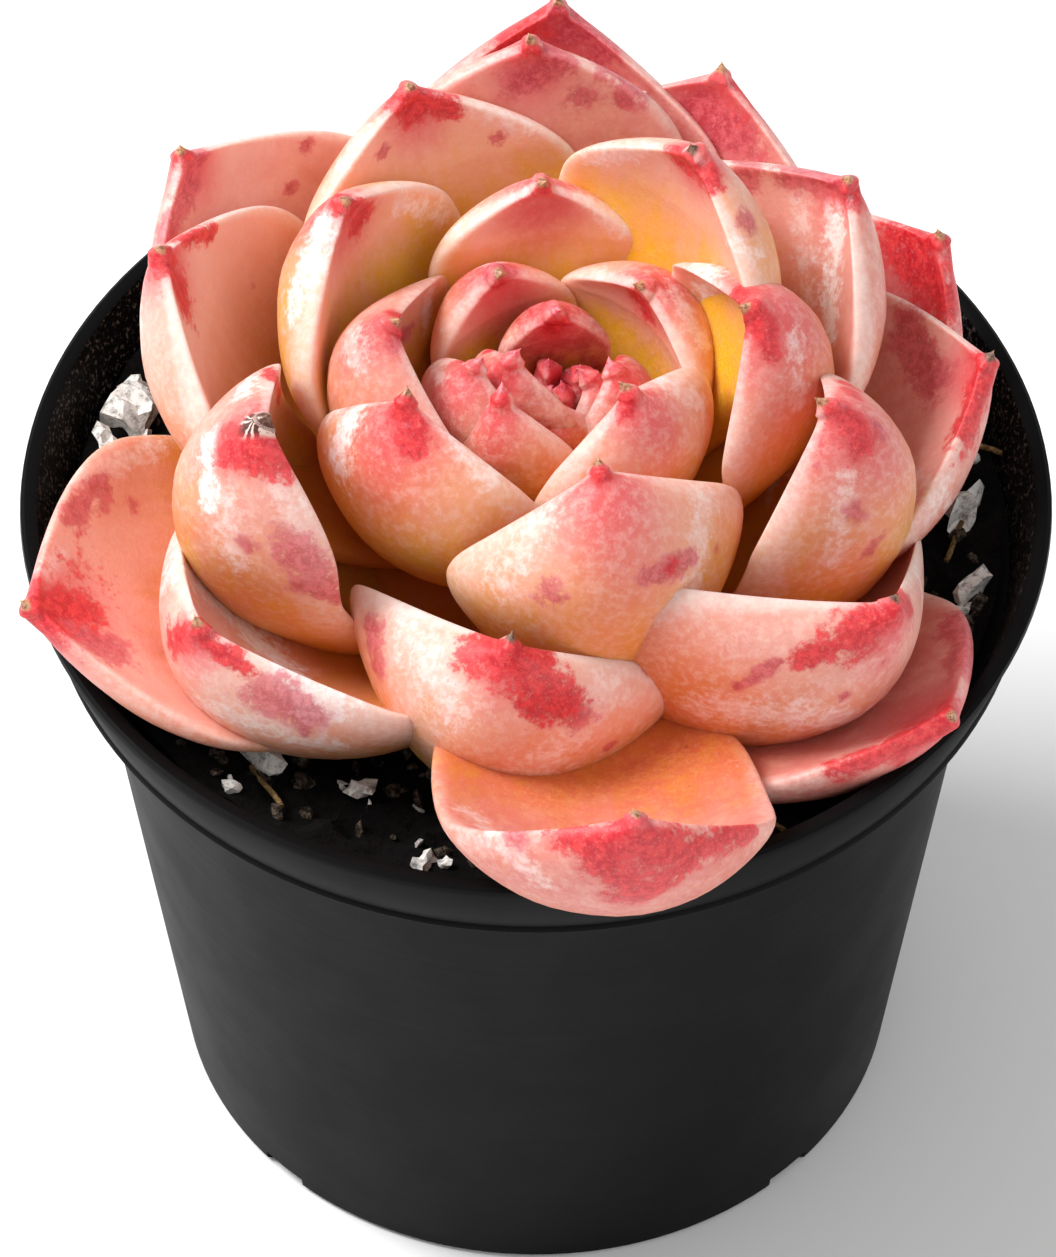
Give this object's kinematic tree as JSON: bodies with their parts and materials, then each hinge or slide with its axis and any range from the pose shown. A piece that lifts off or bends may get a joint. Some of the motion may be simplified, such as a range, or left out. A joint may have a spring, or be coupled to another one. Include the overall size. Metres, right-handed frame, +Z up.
{
  "type": "potted echeveria plant",
  "caption": "Potted rosette succulent with thick cupped leaves, pink-flushed with red tips, in a round black plastic nursery pot.",
  "frame": {"origin": "centre of the pot's flat underside", "axes": "+Z up; the picture is taken from the -Y side, with +X to its right"},
  "size_m": [0.1, 0.1101, 0.1127],
  "materials": {
    "pot_plastic": "satin moulded black plastic",
    "soil": "dark crumbly potting mix with perlite",
    "stem": "fleshy stem, hidden by the leaves",
    "heart_leaf": "waxy, deep red",
    "outer_leaf": "waxy, salmon pink",
    "middle_leaf": "waxy, peach",
    "inner_leaf": "waxy, orange pink"
  },
  "bodies": {
    "root": {"pot": "pot_plastic", "soil": "soil", "stem": "stem", "heart": "heart_leaf", "leaf_01": "outer_leaf", "leaf_02": "outer_leaf", "leaf_03": "outer_leaf", "leaf_04": "outer_leaf", "leaf_05": "outer_leaf", "leaf_06": "outer_leaf", "leaf_07": "outer_leaf", "leaf_08": "outer_leaf", "leaf_09": "outer_leaf", "leaf_10": "outer_leaf", "leaf_11": "outer_leaf", "leaf_12": "outer_leaf", "leaf_13": "outer_leaf", "leaf_14": "middle_leaf", "leaf_15": "middle_leaf", "leaf_16": "middle_leaf", "leaf_17": "middle_leaf", "leaf_18": "middle_leaf", "leaf_19": "middle_leaf", "leaf_20": "middle_leaf", "leaf_21": "middle_leaf", "leaf_22": "middle_leaf", "leaf_23": "middle_leaf", "leaf_24": "middle_leaf", "leaf_25": "middle_leaf", "leaf_26": "middle_leaf", "leaf_27": "middle_leaf", "leaf_28": "inner_leaf", "leaf_29": "inner_leaf", "leaf_30": "inner_leaf", "leaf_31": "inner_leaf", "leaf_32": "inner_leaf", "leaf_33": "inner_leaf", "leaf_34": "inner_leaf"}
  },
  "joints": []
}
